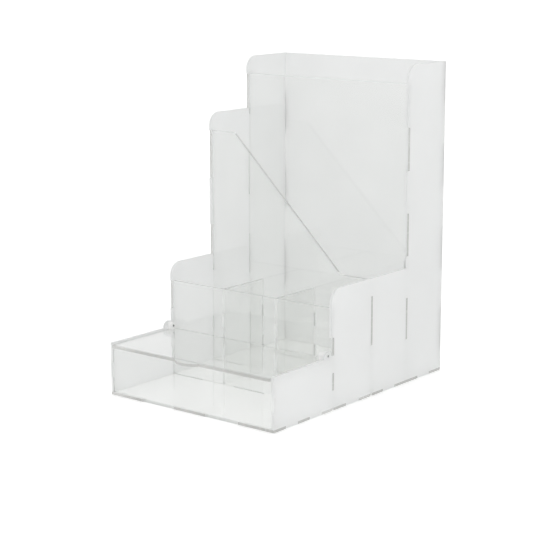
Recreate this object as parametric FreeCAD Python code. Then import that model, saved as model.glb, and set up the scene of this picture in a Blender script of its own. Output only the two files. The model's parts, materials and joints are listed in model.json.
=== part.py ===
import FreeCAD, Part
import os

os.makedirs("parts", exist_ok=True)

# Stepped desk organizer, cut from flat acrylic sheet and put together with finger joints.
# Sizes are in mm. +Z is up, +X is to the right seen from the front, +Y is towards the back.
# The origin is the centre of the base panel's underside, which stands on the desk.
# While the panels are drawn, Y counts from the organizer's front; save() moves it to the origin.

# Sheet and overall width
sheet = 3.0
width = 225.0

# Depths of the bays, each from one step's front edge to the next
box_bay = 96.5
pen_bay = 69.0
folder_bay = 66.5
document_bay = 73.0

# Heights of the side panels, each counted from the step below
box_height = 58.0
pen_rise = 72.0
folder_rise = 161.5
document_rise = 59.5
step_corner_radius = 15.0

# The cross panels stand a little behind the step they close, and end below its top
panel_setback = 1.5
panel_drop = 20.0

# The folder panel's top slants down from left to right, and its low end hides behind the side
folder_low_drop = 1.5
slant_start_share = 0.15
slant_end_share = 0.175
slant_top_radius = 4.0
slant_foot_radius = 10.0

# Finger joints, with their number along each edge
slot_clearance = 0.05
front_fingers = 3
floor_fingers = 5
box_side_fingers = 5
bay_side_fingers = 3
pen_fingers = 4
folder_fingers = 5
document_fingers = 7
long_finger_share = 1.66
short_finger_share = 0.5

# Pen cells, and the two tabs at each end of the dividers between them
pen_cells = 3
divider_tab_share = 0.135
divider_tab_heights = (0.33, 0.67)

# Lid of the front box
lid_below_side = 1.6
lid_side_gap = 0.8
lid_front_overhang = 3.0
lid_rear_gap = 0.7
lid_rest_gap = 0.3
lid_corner_radius = 3.0
finger_lip_radius = 20.0
finger_lip_reach = 8.3

# Lid hinge: a pin through an ear on each side panel and a knuckle on the lid
pin_radius = 1.2
pin_running_clearance = 0.05
pin_bond_clearance = 0.02
pin_recess = 0.6
knuckle_radius = 4.1
knuckle_width = 6.0
ear_radius = 7.2
hinge_to_step = 5.5

# Places worked out from the sizes above
half_width = width / 2
inner_half = half_width - sheet
pen_step = box_bay
folder_step = pen_step + pen_bay
document_step = folder_step + folder_bay
depth = document_step + document_bay
pen_height = box_height + pen_rise
folder_height = pen_height + folder_rise
document_height = folder_height + document_rise
pen_front = pen_step + panel_setback
folder_front = folder_step + panel_setback
document_front = document_step + panel_setback
back_front = depth - sheet
pen_top = pen_height - panel_drop
folder_top = folder_height - panel_drop
document_top = document_height - panel_drop
folder_low_top = pen_height - folder_low_drop
lid_top = box_height - lid_below_side
lid_bottom = lid_top - sheet
box_front_top = lid_bottom - lid_rest_gap
lid_half = inner_half - lid_side_gap
lid_rear = pen_front - lid_rear_gap
hinge_y = pen_step - hinge_to_step
hinge_z = lid_top + knuckle_radius
knuckle_inner = lid_half - knuckle_width

# Which side of the middle plane a thing is on
LEFT = -1
RIGHT = 1


def block(x_span, y_span, z_span):
    """Block between two values on each axis."""
    sizes = [span[1] - span[0] for span in (x_span, y_span, z_span)]
    return Part.makeBox(*sizes, FreeCAD.Vector(x_span[0], y_span[0], z_span[0]))


def rod(radius, x_span, y, z):
    """Round rod along X."""
    start = FreeCAD.Vector(x_span[0], y, z)
    return Part.makeCylinder(radius, x_span[1] - x_span[0], start, FreeCAD.Vector(1, 0, 0))


def on_side(side, near, far):
    """X span between two distances from the middle plane, on the given side of it."""
    return sorted((side * near, side * far))


def divide(start, end, shares):
    """Split a length into neighbouring spans, sized by their shares."""
    unit = (end - start) / sum(shares)
    spans = []
    for share in shares:
        spans.append((start, start + share * unit))
        start += share * unit
    return spans


def slot(span):
    """The span that a slot needs to take a tab."""
    return (span[0] - slot_clearance, span[1] + slot_clearance)


def round_corners(solid, corners, radius):
    """Round the solid's edges that run through any of the corners, given as points."""
    edges = [
        edge
        for edge in solid.Edges
        if any(edge.distToShape(Part.Vertex(corner))[0] < slot_clearance for corner in corners)
        and edge.Length < 2 * sheet
        and edge.Curve.TypeId == "Part::GeomLine"
    ]
    return solid.makeFillet(radius, edges)


def cross_plate(front, outline):
    """Plate across the organizer; its outline is a list of (x, z) corners."""
    points = [FreeCAD.Vector(x, front, z) for x, z in outline]
    face = Part.Face(Part.makePolygon(points + points[:1]))
    return face.extrude(FreeCAD.Vector(0, sheet, 0))


class CrossPanel:
    """A panel between the sides, with the tabs that hold it in the sides and the base."""

    def __init__(self, front, outline, left_tabs, right_tabs, floor_tabs):
        self.front = front
        self.rear = front + sheet
        self.tabs = {LEFT: left_tabs, RIGHT: right_tabs}
        self.floor_tabs = floor_tabs
        self.solid = cross_plate(front, outline)
        for side, spans in self.tabs.items():
            for span in spans:
                tab = block(on_side(side, inner_half, half_width), (front, self.rear), span)
                self.solid = self.solid.fuse(tab)
        for span in floor_tabs:
            self.solid = self.solid.fuse(block(span, (front, self.rear), (0, sheet)))

    def cut(self, tool):
        self.solid = self.solid.cut(tool)


def rectangle(top):
    """Outline of a cross panel that stands on the base, with a level top."""
    return [(-inner_half, sheet), (inner_half, sheet), (inner_half, top), (-inner_half, top)]


def slanted_outline():
    """Outline of the folder panel, high on the left and low on the right."""
    slant_start = -inner_half + slant_start_share * 2 * inner_half
    slant_end = inner_half - slant_end_share * 2 * inner_half
    return [
        (-inner_half, sheet),
        (inner_half, sheet),
        (inner_half, folder_low_top),
        (slant_end, folder_low_top),
        (slant_start, folder_top),
        (-inner_half, folder_top),
    ]


def make_cross_panels():
    """Every panel that runs from side to side, front to back."""
    floor_spans = divide(-inner_half, inner_half, [1] * floor_fingers)
    outer_floor = floor_spans[0::2]
    inner_floor = floor_spans[1::2]
    box_spans = divide(sheet, box_front_top, [1] * front_fingers)
    pen_spans = divide(sheet, pen_top, [1] * pen_fingers + [long_finger_share])
    folder_spans = divide(sheet, folder_top, [1] * folder_fingers)
    low_spans = [span for span in folder_spans[1::2] if span[1] < folder_low_top]
    document_spans = divide(sheet, document_top, [1] * document_fingers)
    back_spans = divide(sheet, document_height, [short_finger_share] + [1] * document_fingers)

    folder_outline = slanted_outline()
    folder = CrossPanel(
        folder_front, folder_outline, folder_spans[0::2], low_spans, outer_floor
    )
    for (x, z), radius in zip(folder_outline[3:5], (slant_foot_radius, slant_top_radius)):
        corner = FreeCAD.Vector(x, folder_front, z)
        folder.solid = round_corners(folder.solid, [corner], radius)
    return {
        "box_front_panel": CrossPanel(
            0, rectangle(box_front_top), box_spans[0::2], box_spans[1::2], inner_floor
        ),
        "pen_front_panel": CrossPanel(
            pen_front, rectangle(pen_top), pen_spans[0::2], pen_spans[1::2], outer_floor
        ),
        "folder_front_panel": folder,
        "document_front_panel": CrossPanel(
            document_front, rectangle(document_top), document_spans[0::2],
            document_spans[1::2], inner_floor,
        ),
        "back_panel": CrossPanel(
            back_front, rectangle(document_height), back_spans[1::2], back_spans[0::2],
            inner_floor,
        ),
    }


def base_tab_spans():
    """Y spans where the base comes through the sides: every other finger of each bay."""
    pen_middle = pen_front + sheet / 2
    folder_middle = folder_front + sheet / 2
    document_middle = document_front + sheet / 2
    bays = [
        (0, pen_middle, box_side_fingers),
        (pen_middle, folder_middle, bay_side_fingers),
        (folder_middle, document_middle, bay_side_fingers),
        (document_middle, depth, bay_side_fingers),
    ]
    tabs = []
    gaps = []
    for start, end, fingers in bays:
        spans = divide(start, end, [1] * fingers)
        tabs += spans[0::2]
        gaps += spans[1::2]
    return tabs, gaps


def make_base(panels):
    """Floor panel, notched for the sides and slotted for the cross panels."""
    base = block((-half_width, half_width), (0, depth), (0, sheet))
    for side in (LEFT, RIGHT):
        for gap in base_tab_spans()[1]:
            notch = block(on_side(side, inner_half, half_width), slot(gap), (0, sheet))
            base = base.cut(notch)
    for panel in panels.values():
        panel_slot = slot((panel.front, panel.rear))
        for span in panel.floor_tabs:
            x_low, x_high = slot(span)
            # A tab at the panel's end has a slot that stays open to the base's edge.
            if x_low < -inner_half:
                x_low = -half_width
            if x_high > inner_half:
                x_high = half_width
            base = base.cut(block((x_low, x_high), panel_slot, (0, sheet)))
    return base


def side_height(steps, y):
    """Height of a side panel at a given depth."""
    return max((height for start, height in steps if start <= y), default=0)


def make_side(side, steps, panels):
    """Side panel whose top climbs from front to back; steps are (Y, height) pairs."""
    outline = []
    height = 0
    for start, next_height in steps:
        outline += [(start, height), (start, next_height)]
        height = next_height
    outline += [(depth, height), (depth, 0)]
    x_span = on_side(side, inner_half, half_width)
    points = [FreeCAD.Vector(x_span[0], y, z) for y, z in outline]
    face = Part.Face(Part.makePolygon(points + points[:1]))
    panel = face.extrude(FreeCAD.Vector(sheet, 0, 0))
    corners = [FreeCAD.Vector(x_span[0], start, height) for start, height in steps[1:]]
    panel = round_corners(panel, corners, step_corner_radius)

    panel = panel.fuse(rod(ear_radius, x_span, hinge_y, box_height))
    hole_radius = pin_radius + pin_running_clearance
    panel = panel.cut(rod(hole_radius, x_span, hinge_y, hinge_z))

    for tab in base_tab_spans()[0]:
        panel = panel.cut(block(x_span, slot(tab), (0, sheet)))
    for cross in panels.values():
        y_span = slot((cross.front, cross.rear))
        ahead = cross.front - 2 * panel_setback
        for tab in cross.tabs[side]:
            z_low, z_high = slot(tab)
            panel = panel.cut(block(x_span, y_span, (z_low, z_high)))
            # Above the step in front, the thin lip before the slot is cut away as well.
            lip_low = max(z_low, side_height(steps, ahead))
            if lip_low < z_high:
                panel = panel.cut(block(x_span, (ahead, cross.front), (lip_low, z_high)))
    return panel


def make_dividers(panels):
    """Dividers between the pen cells, with tabs through the pen and folder panels."""
    pen_panel = panels["pen_front_panel"]
    folder_panel = panels["folder_front_panel"]
    rise = pen_top - sheet
    half_tab = divider_tab_share * rise / 2
    tab_spans = []
    for share in divider_tab_heights:
        middle = sheet + share * rise
        tab_spans.append((middle - half_tab, middle + half_tab))
    dividers = []
    for number in range(1, pen_cells):
        middle = -inner_half + number * 2 * inner_half / pen_cells
        x_span = (middle - sheet / 2, middle + sheet / 2)
        divider = block(x_span, (pen_panel.rear, folder_panel.front), (sheet, pen_top))
        for span in tab_spans:
            for panel in (pen_panel, folder_panel):
                divider = divider.fuse(block(x_span, (panel.front, panel.rear), span))
                panel.cut(block(slot(x_span), (panel.front, panel.rear), slot(span)))
        dividers.append(divider)
    return dividers


def make_lid():
    """Flat lid with rounded front corners and a round lip to lift it by."""
    front = -lid_front_overhang
    lid = block((-lid_half, lid_half), (front, lid_rear), (lid_bottom, lid_top))
    corners = [FreeCAD.Vector(side * lid_half, front, lid_top) for side in (LEFT, RIGHT)]
    lid = round_corners(lid, corners, lid_corner_radius)
    lip_centre = FreeCAD.Vector(0, front - finger_lip_reach + finger_lip_radius, lid_bottom)
    return lid.fuse(Part.makeCylinder(finger_lip_radius, sheet, lip_centre))


def make_knuckle(side):
    """Round-topped block that stands on the lid's rear corner and turns on the pin."""
    x_span = on_side(side, knuckle_inner, lid_half)
    foot_span = (hinge_y - knuckle_radius, hinge_y + knuckle_radius)
    knuckle = rod(knuckle_radius, x_span, hinge_y, hinge_z)
    knuckle = knuckle.fuse(block(x_span, foot_span, (lid_top, hinge_z)))
    return knuckle.cut(rod(pin_radius + pin_bond_clearance, x_span, hinge_y, hinge_z))


def make_pin(side):
    """Hinge pin, a little short of the knuckle's and the ear's outer faces."""
    x_span = on_side(side, knuckle_inner + pin_recess, half_width - pin_recess)
    return rod(pin_radius, x_span, hinge_y, hinge_z)


def save(name, shape):
    """Write one node, moved so that the origin is the base's centre."""
    placed = shape.removeSplitter()
    placed.translate(FreeCAD.Vector(0, -depth / 2, 0))
    placed.exportStep("parts/" + name + ".step")


cross_panels = make_cross_panels()
left_steps = [
    (0, box_height),
    (pen_step, pen_height),
    (folder_step, folder_height),
    (document_step, document_height),
]
right_steps = [(0, box_height), (pen_step, pen_height), (document_step, document_height)]
left_divider, right_divider = make_dividers(cross_panels)

nodes = {name: panel.solid for name, panel in cross_panels.items()}
nodes["base_panel"] = make_base(cross_panels)
nodes["left_side_panel"] = make_side(LEFT, left_steps, cross_panels)
nodes["right_side_panel"] = make_side(RIGHT, right_steps, cross_panels)
nodes["pen_divider_left"] = left_divider
nodes["pen_divider_right"] = right_divider
nodes["lid_panel"] = make_lid()
nodes["lid_hinge_knuckle_left"] = make_knuckle(LEFT)
nodes["lid_hinge_knuckle_right"] = make_knuckle(RIGHT)
nodes["lid_hinge_pin_left"] = make_pin(LEFT)
nodes["lid_hinge_pin_right"] = make_pin(RIGHT)

for node_name, node_shape in nodes.items():
    save(node_name, node_shape)
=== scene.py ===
import json
import math

import bmesh
import bpy
from mathutils import Matrix, Vector


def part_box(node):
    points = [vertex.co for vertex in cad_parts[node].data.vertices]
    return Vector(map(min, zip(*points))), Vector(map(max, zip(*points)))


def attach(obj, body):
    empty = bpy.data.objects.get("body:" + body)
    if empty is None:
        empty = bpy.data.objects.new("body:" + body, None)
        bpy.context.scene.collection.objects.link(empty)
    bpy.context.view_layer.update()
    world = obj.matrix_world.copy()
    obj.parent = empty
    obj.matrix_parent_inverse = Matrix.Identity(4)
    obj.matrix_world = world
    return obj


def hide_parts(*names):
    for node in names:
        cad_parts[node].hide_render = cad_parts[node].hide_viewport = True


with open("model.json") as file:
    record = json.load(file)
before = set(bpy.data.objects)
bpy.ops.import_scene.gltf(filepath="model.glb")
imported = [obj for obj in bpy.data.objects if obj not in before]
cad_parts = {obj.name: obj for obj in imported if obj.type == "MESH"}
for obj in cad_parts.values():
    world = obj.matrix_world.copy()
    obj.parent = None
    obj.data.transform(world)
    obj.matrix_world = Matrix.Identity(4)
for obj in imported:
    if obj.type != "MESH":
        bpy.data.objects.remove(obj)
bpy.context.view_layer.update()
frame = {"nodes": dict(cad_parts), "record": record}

scene = bpy.context.scene

# ---------------------------------------------------------------- camera and colour
CAMERA_AZIMUTH = math.radians(38.61)
CAMERA_ELEVATION = math.radians(12.054)
CAMERA_ROLL = math.radians(-0.126)
CAMERA_PLACE = (1.06636, -1.34423, 0.48792)
CAMERA_LENS = 104.466
SENSOR_WIDTH = 36.0
NEAREST, FARTHEST = 0.05, 200.0

scene.view_settings.view_transform = "Standard"
# Light has to reach the back of the bays through several clear sheets.
scene.cycles.max_bounces = 24
scene.cycles.transmission_bounces = 24
scene.cycles.diffuse_bounces = 8
scene.cycles.transparent_max_bounces = 32


def make_camera():
    """Camera at the photograph's viewing angle."""
    data = bpy.data.cameras.new("camera")
    data.lens = CAMERA_LENS
    data.sensor_width = SENSOR_WIDTH
    data.clip_start, data.clip_end = NEAREST, FARTHEST
    camera = bpy.data.objects.new("camera", data)
    scene.collection.objects.link(camera)
    level = math.cos(CAMERA_ELEVATION)
    back = Vector((
        math.sin(CAMERA_AZIMUTH) * level,
        -math.cos(CAMERA_AZIMUTH) * level,
        math.sin(CAMERA_ELEVATION),
    ))
    turn = (-back).to_track_quat("-Z", "Y").to_matrix() @ Matrix.Rotation(CAMERA_ROLL, 3, "Z")
    camera.matrix_world = Matrix.Translation(CAMERA_PLACE) @ turn.to_4x4()
    scene.camera = camera


make_camera()

# ---------------------------------------------------------------- material helpers
NOISE_SPAN = (0.3, 0.7)  # most of a noise's values lie between these


def new_material(name):
    """A new material with its node tree and its Principled shader."""
    material = bpy.data.materials.new(name)
    material.use_nodes = True
    tree = material.node_tree
    shader = next(n for n in tree.nodes if n.type == "BSDF_PRINCIPLED")
    return material, tree, shader


def noise(tree, scale, detail=3.0, roughness=0.5):
    """Noise in object coordinates, with a scale along each axis."""
    coord = tree.nodes.new("ShaderNodeTexCoord")
    mapping = tree.nodes.new("ShaderNodeMapping")
    mapping.inputs["Scale"].default_value = scale
    tree.links.new(coord.outputs["Object"], mapping.inputs["Vector"])
    node = tree.nodes.new("ShaderNodeTexNoise")
    node.inputs["Scale"].default_value = 1.0
    node.inputs["Detail"].default_value = detail
    node.inputs["Roughness"].default_value = roughness
    tree.links.new(mapping.outputs["Vector"], node.inputs["Vector"])
    return node.outputs["Fac"]


def cut_lines(tree, axis):
    """Noise in fine lines across the sheet's thickness, as a laser leaves on a cut edge."""
    scale = [2600.0, 2600.0, 2600.0]
    scale[axis] = 90.0
    return noise(tree, scale, detail=2.0)


def spread(tree, value, results, span=NOISE_SPAN):
    """A number that goes between two results while a value crosses a span."""
    node = tree.nodes.new("ShaderNodeMapRange")
    node.inputs["From Min"].default_value, node.inputs["From Max"].default_value = span
    node.inputs["To Min"].default_value, node.inputs["To Max"].default_value = results
    tree.links.new(value, node.inputs["Value"])
    return node.outputs["Result"]


def colour_by(tree, shader, value, tones, span=NOISE_SPAN):
    """Makes the base colour go between two tones while a value crosses a span."""
    node = tree.nodes.new("ShaderNodeValToRGB")
    for element, position, tone in zip(node.color_ramp.elements, span, tones):
        element.position = position
        element.color = (*tone, 1.0)
    tree.links.new(value, node.inputs["Fac"])
    tree.links.new(node.outputs["Color"], shader.inputs["Base Color"])


def polish_by(tree, shader, value, roughness, span=NOISE_SPAN):
    """Makes the roughness go between two numbers while a value crosses a span."""
    tree.links.new(spread(tree, value, roughness, span), shader.inputs["Roughness"])


def bump_by(tree, shader, value, distance, strength):
    """Makes the surface rise and fall a little with a value."""
    node = tree.nodes.new("ShaderNodeBump")
    node.inputs["Distance"].default_value = distance
    node.inputs["Strength"].default_value = strength
    tree.links.new(value, node.inputs["Height"])
    tree.links.new(node.outputs["Normal"], shader.inputs["Normal"])


def mix_in(tree, shader, other):
    """Shows a mix of two shaders, and returns the socket for the other one's share."""
    mix = tree.nodes.new("ShaderNodeMixShader")
    tree.links.new(shader.outputs[0], mix.inputs[1])
    tree.links.new(other.outputs[0], mix.inputs[2])
    output = next(n for n in tree.nodes if n.type == "OUTPUT_MATERIAL")
    tree.links.new(mix.outputs[0], output.inputs["Surface"])
    return mix.inputs[0]


# ---------------------------------------------------------------- materials
ACRYLIC_IOR = 1.49
MILK_SHARE = 0.50  # how much of the light that a milky sheet takes in goes through it
MILK_COLOUR = (0.97, 0.975, 0.972, 1.0)
STRAIGHT_COLOUR = (0.98, 0.98, 0.98, 1.0)

# Each pair is a surface's darker and lighter tone.
WHITE_SHEET = ((0.91, 0.915, 0.912), (0.94, 0.945, 0.942))
WHITE_EDGE = ((0.84, 0.845, 0.842), (0.90, 0.905, 0.902))
CLEAR_SHEET = ((0.945, 0.95, 0.943), (0.965, 0.968, 0.962))
OPEN_EDGE = ((0.69, 0.695, 0.685), (0.76, 0.765, 0.755))
# Tab ends, the base's front and back edges and the lid's front edge are painted darker than an open
# cut: painted shade and painted reflection.
TAB_END_PAINTED_SHADE = ((0.64, 0.64, 0.62), (0.76, 0.76, 0.74))
GLUED_EDGE = ((0.84, 0.85, 0.84), (0.90, 0.91, 0.90))
CLEAR_KNUCKLE = ((0.93, 0.93, 0.92), (0.97, 0.97, 0.96))
DARK_STEEL = ((0.03, 0.03, 0.032), (0.08, 0.08, 0.085))


def milky(tree, shader):
    """Lets some of the light through to the other side of the sheet, softly."""
    through = tree.nodes.new("ShaderNodeBsdfTranslucent")
    through.inputs["Color"].default_value = MILK_COLOUR
    mix_in(tree, shader, through).default_value = MILK_SHARE


def white_acrylic():
    """Milky cast sheet: faintly cloudy, with a polish that varies a little."""
    material, tree, shader = new_material("white_acrylic")
    cloud = noise(tree, (14, 14, 14), detail=4.0, roughness=0.55)
    colour_by(tree, shader, cloud, WHITE_SHEET)
    smear = noise(tree, (60, 60, 25), detail=5.0, roughness=0.6)
    polish_by(tree, shader, smear, roughness=(0.14, 0.22))
    bump_by(tree, shader, noise(tree, (9, 9, 9), detail=1.0), distance=0.001, strength=0.05)
    shader.inputs["IOR"].default_value = ACRYLIC_IOR
    milky(tree, shader)
    return material


def white_edge(axis):
    """Cut edge of the milky sheet."""
    material, tree, shader = new_material("white_edge_" + "xyz"[axis])
    lines = cut_lines(tree, axis)
    colour_by(tree, shader, lines, WHITE_EDGE)
    polish_by(tree, shader, lines, roughness=(0.25, 0.4))
    bump_by(tree, shader, lines, distance=0.0001, strength=0.4)
    shader.inputs["IOR"].default_value = ACRYLIC_IOR
    shader.inputs["Specular IOR Level"].default_value = 0.25
    milky(tree, shader)
    return material


def clear_acrylic():
    """Clear cast sheet. Shadow and diffuse rays go straight through it, so the bays are lit."""
    material, tree, shader = new_material("clear_acrylic")
    colour_by(tree, shader, noise(tree, (18, 18, 18)), CLEAR_SHEET)
    smear = noise(tree, (70, 70, 30), detail=5.0, roughness=0.6)
    polish_by(tree, shader, smear, roughness=(0.0, 0.03), span=(0.35, 0.75))
    shader.inputs["Transmission Weight"].default_value = 1.0
    shader.inputs["IOR"].default_value = ACRYLIC_IOR
    path = tree.nodes.new("ShaderNodeLightPath")
    passing = tree.nodes.new("ShaderNodeMath")
    passing.operation = "MAXIMUM"
    tree.links.new(path.outputs["Is Shadow Ray"], passing.inputs[0])
    tree.links.new(path.outputs["Is Diffuse Ray"], passing.inputs[1])
    straight = tree.nodes.new("ShaderNodeBsdfTransparent")
    straight.inputs["Color"].default_value = STRAIGHT_COLOUR
    tree.links.new(passing.outputs[0], mix_in(tree, shader, straight))
    return material


def clear_edge(name, axis, tones, clarity):
    """Cut edge of the clear sheet: far less clear than its faces, with laser lines, and darker in
    some stretches as painted reflection.
    """
    material, tree, shader = new_material("clear_" + name + "_" + "xyz"[axis])
    lines = cut_lines(tree, axis)
    # Darker stretches along the edge: painted reflection.
    painted_reflection_stretches = noise(tree, (22, 22, 22), detail=1.0)
    mixed = tree.nodes.new("ShaderNodeMix")
    mixed.inputs["Factor"].default_value = 0.7
    tree.links.new(lines, mixed.inputs["A"])
    tree.links.new(painted_reflection_stretches, mixed.inputs["B"])
    colour_by(tree, shader, mixed.outputs["Result"], tones, span=(0.38, 0.62))
    polish_by(tree, shader, lines, roughness=(0.12, 0.3))
    bump_by(tree, shader, lines, distance=0.0001, strength=0.4)
    shader.inputs["IOR"].default_value = ACRYLIC_IOR
    shader.inputs["Transmission Weight"].default_value = clarity
    return material


def glued_edge(axis):
    """Edge of a clear sheet that is glued against another piece: pale, with no gap to see into."""
    material, tree, shader = new_material("glued_edge_" + "xyz"[axis])
    lines = cut_lines(tree, axis)
    colour_by(tree, shader, lines, GLUED_EDGE)
    polish_by(tree, shader, lines, roughness=(0.3, 0.5))
    shader.inputs["Specular IOR Level"].default_value = 0.2
    return material


def steel():
    """Drawn steel of a hinge pin, with its grain along the pin."""
    material, tree, shader = new_material("steel_pin")
    grain = noise(tree, (900, 150, 150))
    colour_by(tree, shader, grain, DARK_STEEL)
    polish_by(tree, shader, grain, roughness=(0.3, 0.5))
    shader.inputs["Metallic"].default_value = 1.0
    return material


SURFACES = {"white_acrylic": white_acrylic(), "clear_acrylic": clear_acrylic(), "steel_pin": steel()}
WHITE_EDGES = [white_edge(axis) for axis in range(3)]
GLUED_EDGES = [glued_edge(axis) for axis in range(3)]
OPEN_EDGES = [clear_edge("edge", axis, OPEN_EDGE, clarity=0.1) for axis in range(3)]
TAB_ENDS_PAINTED_SHADE = [clear_edge("tab_end_painted_shade", axis, TAB_END_PAINTED_SHADE, clarity=0.2) for axis in range(3)]
KNUCKLE = clear_edge("knuckle", 0, CLEAR_KNUCKLE, clarity=0.0)

# ---------------------------------------------------------------- pieces cut from sheet
# Where a piece's materials stand in its list
# TAB faces take the darker tab-end tone, which is painted shade and reflection.
SURFACE, CUT, TAB, GLUED = range(4)

WELD = 1e-6
BEVEL = 0.00012
CONTACT_GAP = 0.00002  # keeps a clear sheet off the faces that it touches
OUTSIDE_MARGIN = 0.0005  # a face this near the outside of the body shows there
JOINT_MARGIN = 0.0002  # an edge this near a side panel is in the joint with it
LONG_EDGE = 0.0045  # an upward face with no longer edge than this is part of a joint
FLAT_ANGLE = math.radians(0.5)
EASED_ANGLE = math.radians(30)
CREASE_ANGLE = math.radians(50)
SQUARE_ON, SIDEWAYS, UPWARD, FORWARD = 0.99, 0.9, 0.1, -0.3  # parts of a face's normal

INNER_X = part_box("right_side_panel")[0].x
OUTER_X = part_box("right_side_panel")[1].x
FRONT_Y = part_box("base_panel")[0].y
REAR_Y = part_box("base_panel")[1].y


def thin_axis(node_name):
    """Axis across the sheet that a node is cut from. Hinge pieces are taken along the hinge."""
    if "hinge" in node_name:
        return 0
    low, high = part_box(node_name)
    sizes = [high[i] - low[i] for i in range(3)]
    return sizes.index(min(sizes))


def edge_kind(face, node_name):
    """Whether a clear sheet's narrow face is an open cut, the end of a tab painted darker as shade
    and reflection, or glued.
    """
    middle = face.calc_center_median()
    if abs(face.normal.x) > SIDEWAYS and abs(middle.x) > OUTER_X - OUTSIDE_MARGIN:
        return TAB
    if node_name == "base_panel":
        # The base's front and back edges take the darker tab-end tone: painted shadow of the gap
        # under the base.
        outside = middle.y < FRONT_Y + OUTSIDE_MARGIN or middle.y > REAR_Y - OUTSIDE_MARGIN
        return TAB if outside else GLUED
    if node_name == "lid_panel":
        # The lid's front edge takes the darker tab-end tone: painted reflection and shade.
        return TAB if face.normal.y < FORWARD else CUT
    long_enough = max(edge.calc_length() for edge in face.edges) > LONG_EDGE
    open_top = face.normal.z > UPWARD and long_enough and abs(middle.x) < INNER_X
    return CUT if open_top else GLUED


def face_kind(face, node_name, material_slot, axis):
    """Which of its piece's materials a face has."""
    if "hinge" in node_name:
        return SURFACE
    if node_name == "box_front_panel" and abs(face.calc_center_median().x) > INNER_X:
        return GLUED
    if abs(face.normal[axis]) > SQUARE_ON:
        return SURFACE
    return edge_kind(face, node_name) if material_slot == "clear_acrylic" else CUT


def in_joint(edge, node_name):
    """Whether an edge of a cross panel lies in its joint with a side panel."""
    if node_name.endswith("side_panel") or node_name == "base_panel":
        return False
    return all(abs(vert.co.x) > INNER_X - JOINT_MARGIN for vert in edge.verts)


def eased_shape(node_name, material_slot):
    """The node's shape with whole flat faces, and with its cut edges eased outside the joints."""
    shape = bmesh.new()
    shape.from_mesh(frame["nodes"][node_name].data)
    bmesh.ops.remove_doubles(shape, verts=shape.verts, dist=WELD)
    bmesh.ops.dissolve_limit(
        shape, angle_limit=FLAT_ANGLE, verts=shape.verts, edges=shape.edges
    )
    bmesh.ops.recalc_face_normals(shape, faces=shape.faces)
    if material_slot == "clear_acrylic":
        shape.normal_update()
        moves = [vert.normal * vert.calc_shell_factor() * -CONTACT_GAP for vert in shape.verts]
        for vert, move in zip(shape.verts, moves):
            vert.co += move
    eased = [
        edge for edge in shape.edges
        if edge.is_convex and edge.calc_face_angle(0.0) > EASED_ANGLE
        and not in_joint(edge, node_name)
    ]
    bmesh.ops.bevel(
        shape, geom=eased, offset=BEVEL, offset_type="OFFSET", segments=2, profile=0.5,
        affect="EDGES", clamp_overlap=True,
    )
    if node_name == "box_front_panel":
        for side in (-INNER_X, INNER_X):
            bmesh.ops.bisect_plane(
                shape, geom=shape.verts[:] + shape.edges[:] + shape.faces[:],
                plane_co=(side, 0, 0), plane_no=(1, 0, 0),
            )
    shape.normal_update()
    return shape


def piece_materials(node_name, material_slot, axis):
    """A piece's materials, in the order of SURFACE, CUT, TAB and GLUED."""
    if "knuckle" in node_name:
        return [KNUCKLE]
    if material_slot == "clear_acrylic":
        return [SURFACES[material_slot], OPEN_EDGES[axis], TAB_ENDS_PAINTED_SHADE[axis], GLUED_EDGES[axis]]
    if material_slot == "white_acrylic":
        return [SURFACES[material_slot], WHITE_EDGES[axis]]
    return [SURFACES[material_slot]]


def sheet_piece(node_name, material_slot, body):
    """The piece that stands for a CAD node, with its surfaces and edges told apart."""
    axis = thin_axis(node_name)
    mesh = bpy.data.meshes.new(node_name + "_sheet")
    shape = eased_shape(node_name, material_slot)
    for face in shape.faces:
        face.smooth = abs(face.normal[axis]) < SQUARE_ON or "hinge" in node_name
        face.material_index = face_kind(face, node_name, material_slot, axis)
    shape.to_mesh(mesh)
    shape.free()
    for material in piece_materials(node_name, material_slot, axis):
        mesh.materials.append(material)
    mesh.set_sharp_from_angle(angle=CREASE_ANGLE)
    piece = bpy.data.objects.new(node_name + "_sheet", mesh)
    scene.collection.objects.link(piece)
    weighted = piece.modifiers.new("normals", "WEIGHTED_NORMAL")
    weighted.keep_sharp = True
    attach(piece, body)
    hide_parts(node_name)


slots = {row["node"]: row["material_slot"] for row in frame["record"]["subparts"]}
for body, members in frame["record"]["behaviour"]["bodies"].items():
    for node_name in members:
        sheet_piece(node_name, slots[node_name], body)

# ---------------------------------------------------------------- floor and light
FLOOR_REACH = 60.0
FLOOR_HEIGHT = -0.0004  # just under the base, so that the two never share a plane
FLOOR_COLOUR = (0.98, 0.98, 0.98, 1.0)
FLOOR_GLOW = 0.25
WHITE = (1.0, 1.0, 1.0, 1.0)

DIM_SIDE = (0.7, -0.71, 0.0)  # the sky is dimmest towards the front right
SIDE_SPAN, SIDE_LEVELS = (-0.3, 0.8), (0.96, 0.59)
HEIGHT_SPAN, HEIGHT_LEVELS = (0.15, 0.9), (0.0, 0.10)

LIGHT_PLACE = (0.0, -0.1, 2.2)
LIGHT_SIZE = 2.4
LIGHT_POWER = 2.0


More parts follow.
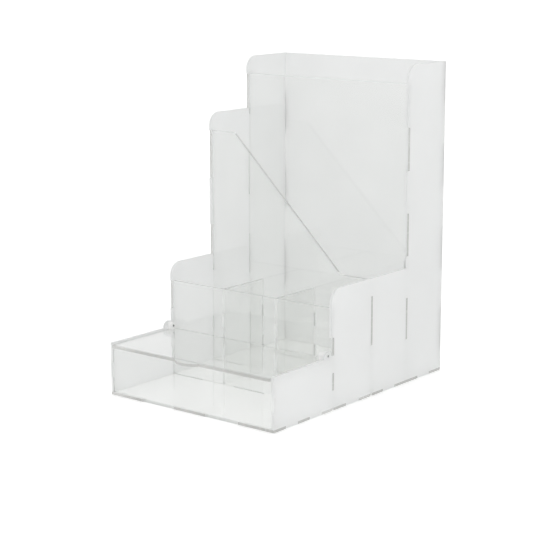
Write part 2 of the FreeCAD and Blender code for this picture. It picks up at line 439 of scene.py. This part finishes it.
def make_floor():
    """Wide white floor with a little glow of its own."""
    mesh = bpy.data.meshes.new("floor")
    corners = [(-1, -1), (1, -1), (1, 1), (-1, 1)]
    mesh.from_pydata(
        [(x * FLOOR_REACH, y * FLOOR_REACH, FLOOR_HEIGHT) for x, y in corners],
        [], [(0, 1, 2, 3)],
    )
    floor = bpy.data.objects.new("floor", mesh)
    scene.collection.objects.link(floor)
    material, tree, shader = new_material("floor_white")
    shader.inputs["Base Color"].default_value = FLOOR_COLOUR
    shader.inputs["Roughness"].default_value = 0.6
    shader.inputs["Specular IOR Level"].default_value = 0.2
    shader.inputs["Emission Color"].default_value = WHITE
    shader.inputs["Emission Strength"].default_value = FLOOR_GLOW
    mesh.materials.append(material)


def make_world():
    """Soft sky, dimmer to the front right and a little brighter overhead."""
    world = bpy.data.worlds.new("studio")
    scene.world = world
    world.use_nodes = True
    tree = world.node_tree
    background = next(n for n in tree.nodes if n.type == "BACKGROUND")
    coord = tree.nodes.new("ShaderNodeTexCoord")
    dot = tree.nodes.new("ShaderNodeVectorMath")
    dot.operation = "DOT_PRODUCT"
    dot.inputs[1].default_value = DIM_SIDE
    tree.links.new(coord.outputs["Generated"], dot.inputs[0])
    level = spread(tree, dot.outputs["Value"], SIDE_LEVELS, SIDE_SPAN)
    split = tree.nodes.new("ShaderNodeSeparateXYZ")
    tree.links.new(coord.outputs["Generated"], split.inputs[0])
    above = spread(tree, split.outputs["Z"], HEIGHT_LEVELS, HEIGHT_SPAN)
    total = tree.nodes.new("ShaderNodeMath")
    tree.links.new(level, total.inputs[0])
    tree.links.new(above, total.inputs[1])
    tree.links.new(total.outputs[0], background.inputs["Strength"])
    background.inputs["Color"].default_value = WHITE


def make_light():
    """Large soft light above the object."""
    data = bpy.data.lights.new("top_light", "AREA")
    data.shape = "RECTANGLE"
    data.size = data.size_y = LIGHT_SIZE
    data.energy = LIGHT_POWER
    light = bpy.data.objects.new("top_light", data)
    scene.collection.objects.link(light)
    aim = (-Vector(LIGHT_PLACE)).to_track_quat("-Z", "Y")
    light.matrix_world = Matrix.Translation(LIGHT_PLACE) @ aim.to_matrix().to_4x4()


make_floor()
make_world()
make_light()
